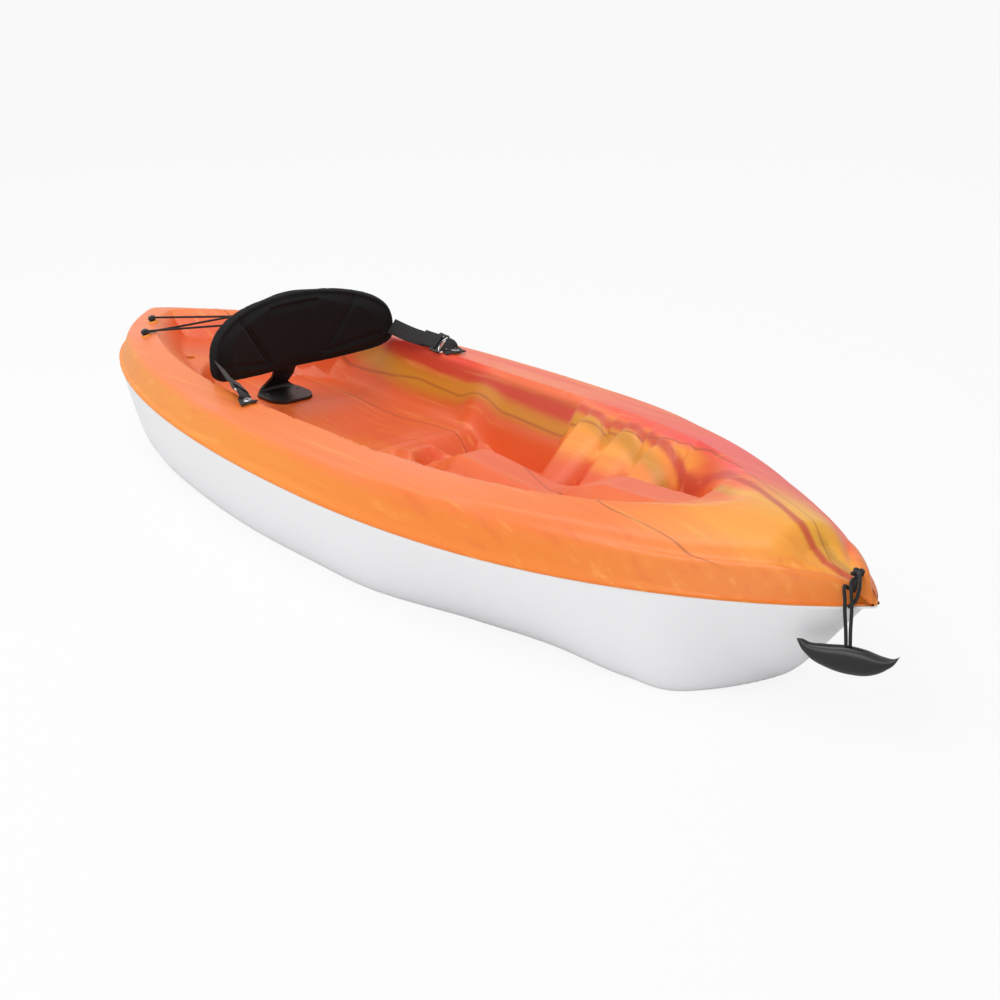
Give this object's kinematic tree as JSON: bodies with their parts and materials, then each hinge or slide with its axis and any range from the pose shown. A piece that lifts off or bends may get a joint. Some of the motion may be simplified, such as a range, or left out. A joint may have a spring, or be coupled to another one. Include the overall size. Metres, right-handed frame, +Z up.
{
  "type": "sit-on-top kayak",
  "caption": "Sit-on-top recreational kayak: white hull and orange deck, moulded cockpit with foot blocks, folding backrest on straps, elastic cord over a tank well and a bow handle",
  "frame": {"origin": "middle of the length and of the beam, on the surface that the hull stands on", "axes": "+X to the bow along the length, +Y to port across the beam, +Z up"},
  "size_m": [2.4949, 0.735, 0.4037],
  "materials": {
    "deck_sheet": "satin orange sheet with yellow and red streaks along the length",
    "hull_sheet": "satin white sheet",
    "foam": "closed-cell foam",
    "black_plastic": "moulded, fine grain",
    "seal_rubber": "matt",
    "black_fabric": "matt laminated cloth over foam",
    "webbing": "woven polyester webbing",
    "cord": "braided sheath",
    "grip_rubber": "matt moulded grip",
    "steel": "stainless"
  },
  "bodies": {
    "kayak": {"deck_shell": "deck_sheet", "hull_shell": "hull_sheet", "foam_block_bow": "foam", "foam_block_seat": "foam", "foam_block_stern": "foam", "backrest_tongue_foot": "black_plastic", "tongue_screw_starboard": "steel", "tongue_screw_port": "steel", "strap_starboard": "webbing", "strap_port": "webbing", "strap_tab_starboard": "webbing", "strap_tab_port": "webbing", "strap_buckle_starboard": "black_plastic", "strap_buckle_port": "black_plastic", "strap_bar_starboard": "steel", "strap_bar_port": "steel", "anchor_plate_starboard": "steel", "anchor_plate_port": "steel", "anchor_screw_starboard": "steel", "anchor_screw_port": "steel", "bungee_button_1": "black_plastic", "bungee_button_2": "black_plastic", "bungee_button_3": "black_plastic", "bungee_button_4": "black_plastic", "bungee_button_5": "black_plastic", "bungee_screw_1": "steel", "bungee_screw_2": "steel", "bungee_screw_3": "steel", "bungee_screw_4": "steel", "bungee_screw_5": "steel", "bungee_cord_rear": "cord", "bungee_cord_front": "cord", "bow_handle_knot": "cord"},
    "backrest": {"backrest_panel": "black_plastic", "backrest_pad": "black_fabric", "backrest_tongue_blade": "black_plastic"},
    "bow_handle": {"bow_handle_grip": "grip_rubber", "bow_handle_rope": "cord"},
    "drain_plug_body": {"drain_plug": "black_plastic", "drain_plug_seal": "seal_rubber"}
  },
  "joints": [
    {"name": "backrest_fold", "type": "hinge", "parent": "kayak", "child": "backrest", "pos_m": [-0.6, 0, 0.203], "axis": [0, 1, 0], "range_deg": [0, 50], "deforming": ["backrest_pad", "strap_port", "strap_starboard"]},
    {"name": "bow_handle_swing", "type": "hinge", "parent": "kayak", "child": "bow_handle", "pos_m": [1.1965, -0.0368, 0.2122], "axis": [-0.7233, -0.6906, 0], "range_deg": [0, 90], "deforming": ["bow_handle_rope"]},
    {"name": "drain_plug_turn", "type": "hinge", "parent": "kayak", "child": "drain_plug_body", "pos_m": [-1.1223, 0.1294, 0.213], "axis": [-0.5728, 0.8197, 0], "range_deg": [0, 720]}
  ]
}
